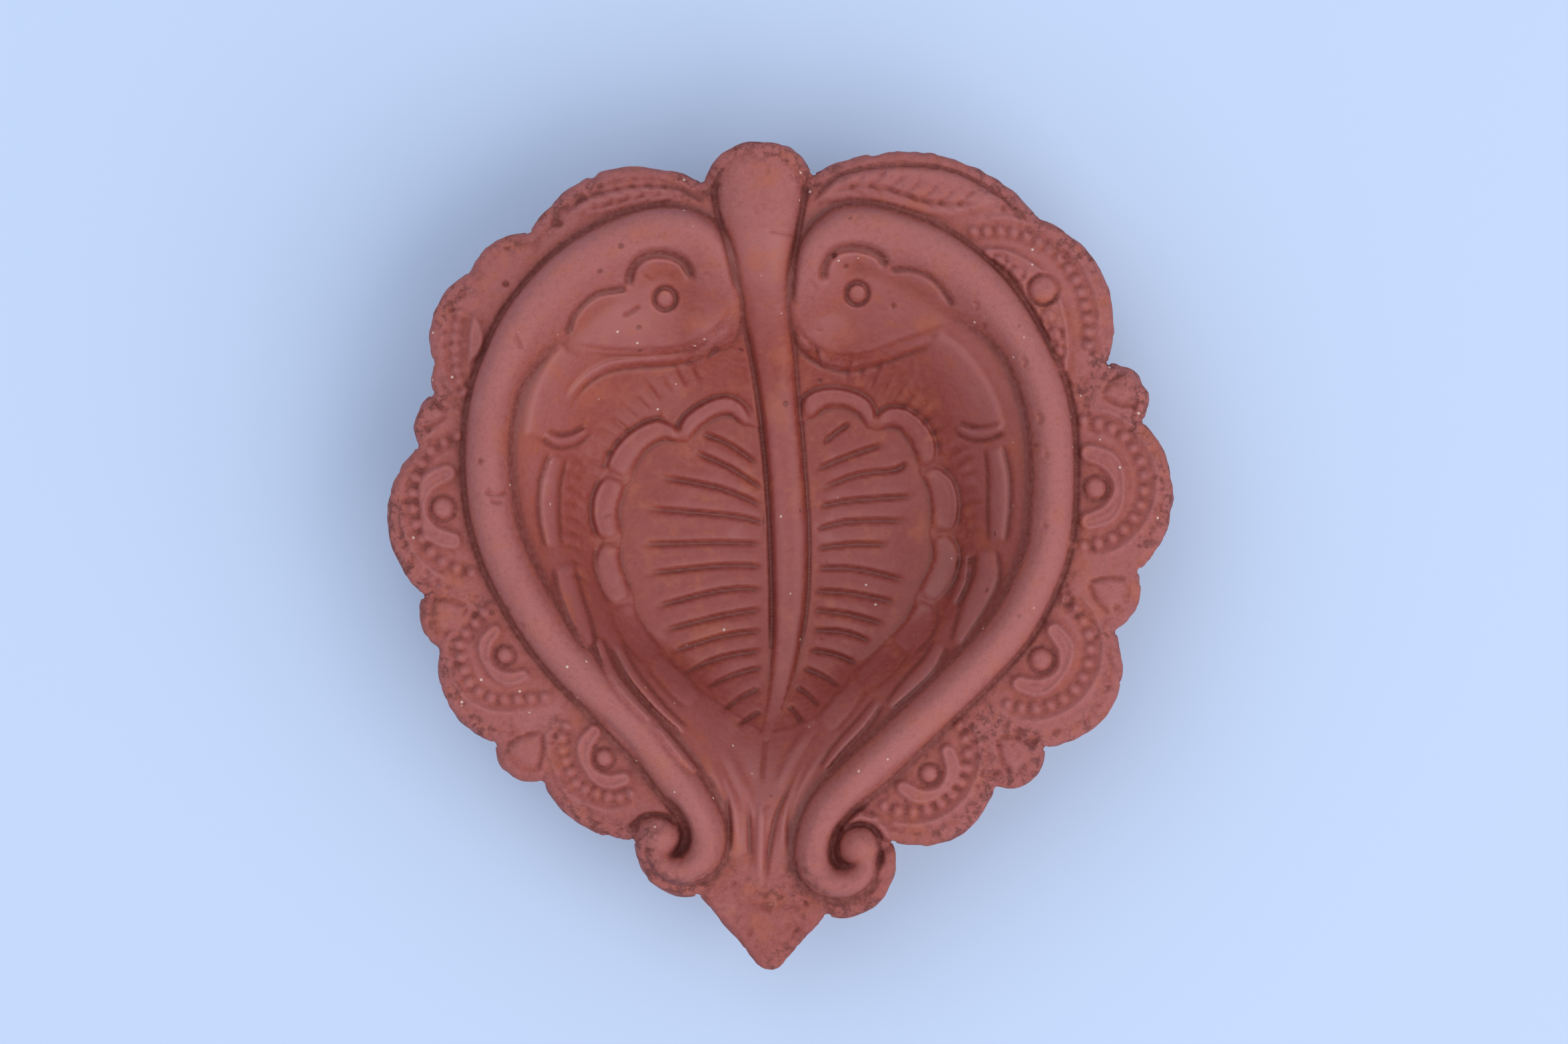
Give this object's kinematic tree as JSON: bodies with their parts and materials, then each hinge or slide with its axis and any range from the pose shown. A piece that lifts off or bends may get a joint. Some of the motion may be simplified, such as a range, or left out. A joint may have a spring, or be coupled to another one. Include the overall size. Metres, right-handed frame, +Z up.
{
  "type": "oil lamp",
  "caption": "Heart-shaped unglazed clay oil lamp with a wick spout, a scalloped border and a rim formed by two peacock necks.",
  "frame": {"origin": "centre of the flat round foot, on the surface that the lamp rests on", "axes": "+X to the right across the lamp, +Y from the spout tip towards the stem knob, +Z up out of the bowl"},
  "size_m": [0.0903, 0.0951, 0.022],
  "materials": {
    "clay_rim": "unglazed fired red clay, matt, slightly pink and dusty on the raised work",
    "clay_bowl": "unglazed fired red clay, matt, deeper orange brown inside the bowl",
    "clay_wiped": "unglazed fired red clay, wiped flat"
  },
  "bodies": {
    "root": {"foot": "clay_wiped", "bowl": "clay_bowl", "border_left": "clay_rim", "border_right": "clay_rim", "spout_lip": "clay_rim", "stem_knob": "clay_rim", "midrib": "clay_bowl", "neck_left": "clay_rim", "neck_right": "clay_rim", "head_left": "clay_rim", "head_right": "clay_rim", "eye_left": "clay_rim", "eye_right": "clay_rim", "scroll_left": "clay_rim", "scroll_right": "clay_rim", "veins_left": "clay_bowl", "veins_right": "clay_bowl", "feather_band_left": "clay_bowl", "feather_band_right": "clay_bowl", "outer_feathers_left": "clay_bowl", "outer_feathers_right": "clay_bowl", "wing_barbs_left": "clay_bowl", "wing_barbs_right": "clay_bowl", "throat_ridge": "clay_bowl", "throat_lines_left": "clay_bowl", "throat_lines_right": "clay_bowl", "crown_leaf_left": "clay_rim", "crown_leaf_right": "clay_rim", "medallion_1_left": "clay_rim", "medallion_2_left": "clay_rim", "medallion_3_left": "clay_rim", "medallion_4_left": "clay_rim", "medallion_1_right": "clay_rim", "medallion_2_right": "clay_rim", "medallion_3_right": "clay_rim", "medallion_4_right": "clay_rim", "lobe_motif_1_left": "clay_rim", "lobe_motif_2_left": "clay_rim", "lobe_motif_3_left": "clay_rim", "lobe_motif_1_right": "clay_rim", "lobe_motif_2_right": "clay_rim", "lobe_motif_3_right": "clay_rim"}
  },
  "joints": []
}
